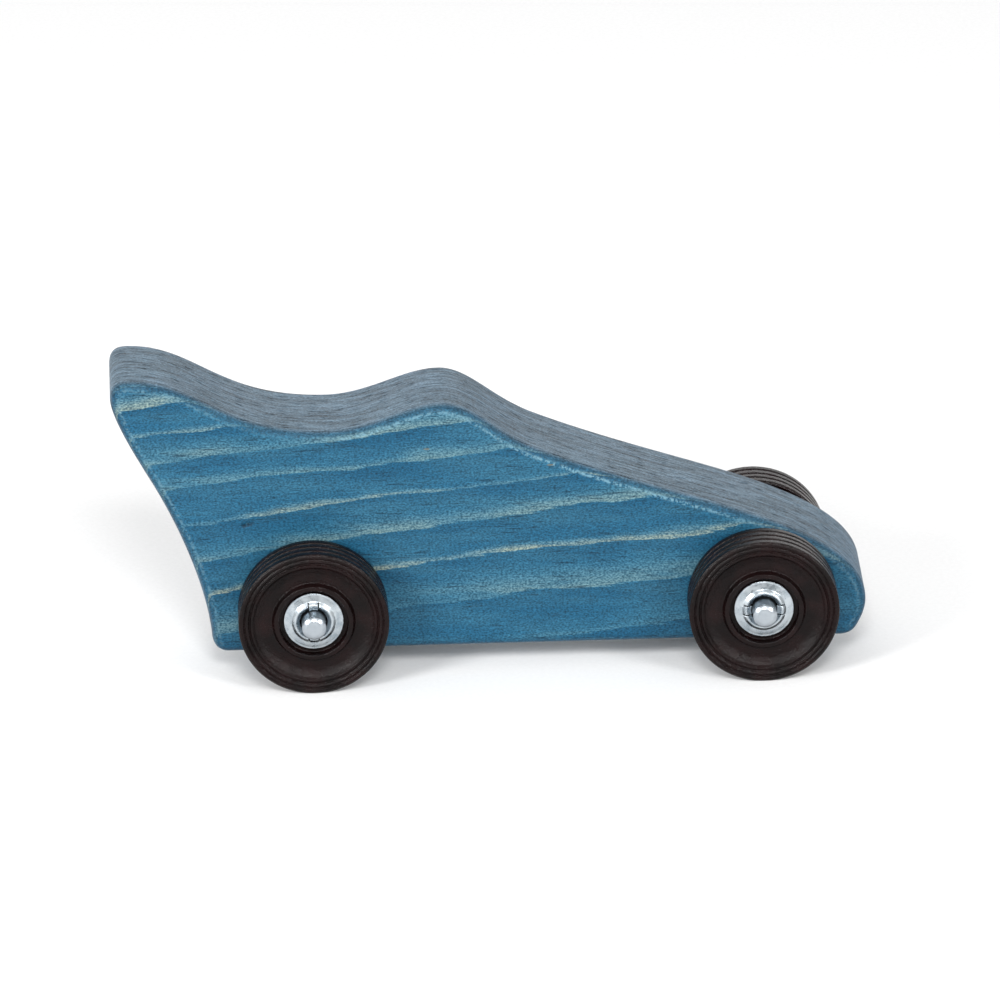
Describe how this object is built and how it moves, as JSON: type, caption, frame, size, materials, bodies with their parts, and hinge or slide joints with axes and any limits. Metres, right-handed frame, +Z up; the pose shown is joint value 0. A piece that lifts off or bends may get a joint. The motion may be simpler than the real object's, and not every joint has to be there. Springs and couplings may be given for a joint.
{
  "type": "wooden toy car",
  "caption": "Push-along toy racing car: a stained pine board on two steel axles, with moulded wheels held by push nuts.",
  "frame": {"origin": "middle of the length and the width, on the floor the wheels stand on", "axes": "+X towards the nose, +Y to the left, +Z up"},
  "size_m": [0.2582, 0.0782, 0.1098],
  "materials": {
    "stained_pine": "blue-stained pine, satin",
    "drawn_steel": "drawn rod, zinc plated",
    "zinc_washer": "zinc plated",
    "zinc_push_nut": "bright zinc plated",
    "wheel_plastic": "moulded, satin"
  },
  "bodies": {
    "car_body": {"body_board": "stained_pine"},
    "rear_axle_set": {"rear_axle": "drawn_steel", "rear_left_washer": "zinc_washer", "rear_left_push_nut": "zinc_push_nut", "rear_right_washer": "zinc_washer", "rear_right_push_nut": "zinc_push_nut"},
    "front_axle_set": {"front_axle": "drawn_steel", "front_left_washer": "zinc_washer", "front_left_push_nut": "zinc_push_nut", "front_right_washer": "zinc_washer", "front_right_push_nut": "zinc_push_nut"},
    "rear_left_wheel": {"rear_left_wheel": "wheel_plastic"},
    "rear_right_wheel": {"rear_right_wheel": "wheel_plastic"},
    "front_left_wheel": {"front_left_wheel": "wheel_plastic"},
    "front_right_wheel": {"front_right_wheel": "wheel_plastic"}
  },
  "joints": [
    {"name": "rear_axle_turn", "type": "hinge", "parent": "car_body", "child": "rear_axle_set", "pos_m": [-0.06145, 0, 0.0258], "axis": [0, 1, 0], "continuous": true},
    {"name": "front_axle_turn", "type": "hinge", "parent": "car_body", "child": "front_axle_set", "pos_m": [0.09295, 0, 0.0258], "axis": [0, 1, 0], "continuous": true},
    {"name": "rear_left_wheel_roll", "type": "hinge", "parent": "rear_axle_set", "child": "rear_left_wheel", "pos_m": [-0.06145, 0.02795, 0.0258], "axis": [0, 1, 0], "continuous": true},
    {"name": "rear_right_wheel_roll", "type": "hinge", "parent": "rear_axle_set", "child": "rear_right_wheel", "pos_m": [-0.06145, -0.02795, 0.0258], "axis": [0, 1, 0], "continuous": true},
    {"name": "front_left_wheel_roll", "type": "hinge", "parent": "front_axle_set", "child": "front_left_wheel", "pos_m": [0.09295, 0.02795, 0.0258], "axis": [0, 1, 0], "continuous": true},
    {"name": "front_right_wheel_roll", "type": "hinge", "parent": "front_axle_set", "child": "front_right_wheel", "pos_m": [0.09295, -0.02795, 0.0258], "axis": [0, 1, 0], "continuous": true}
  ]
}
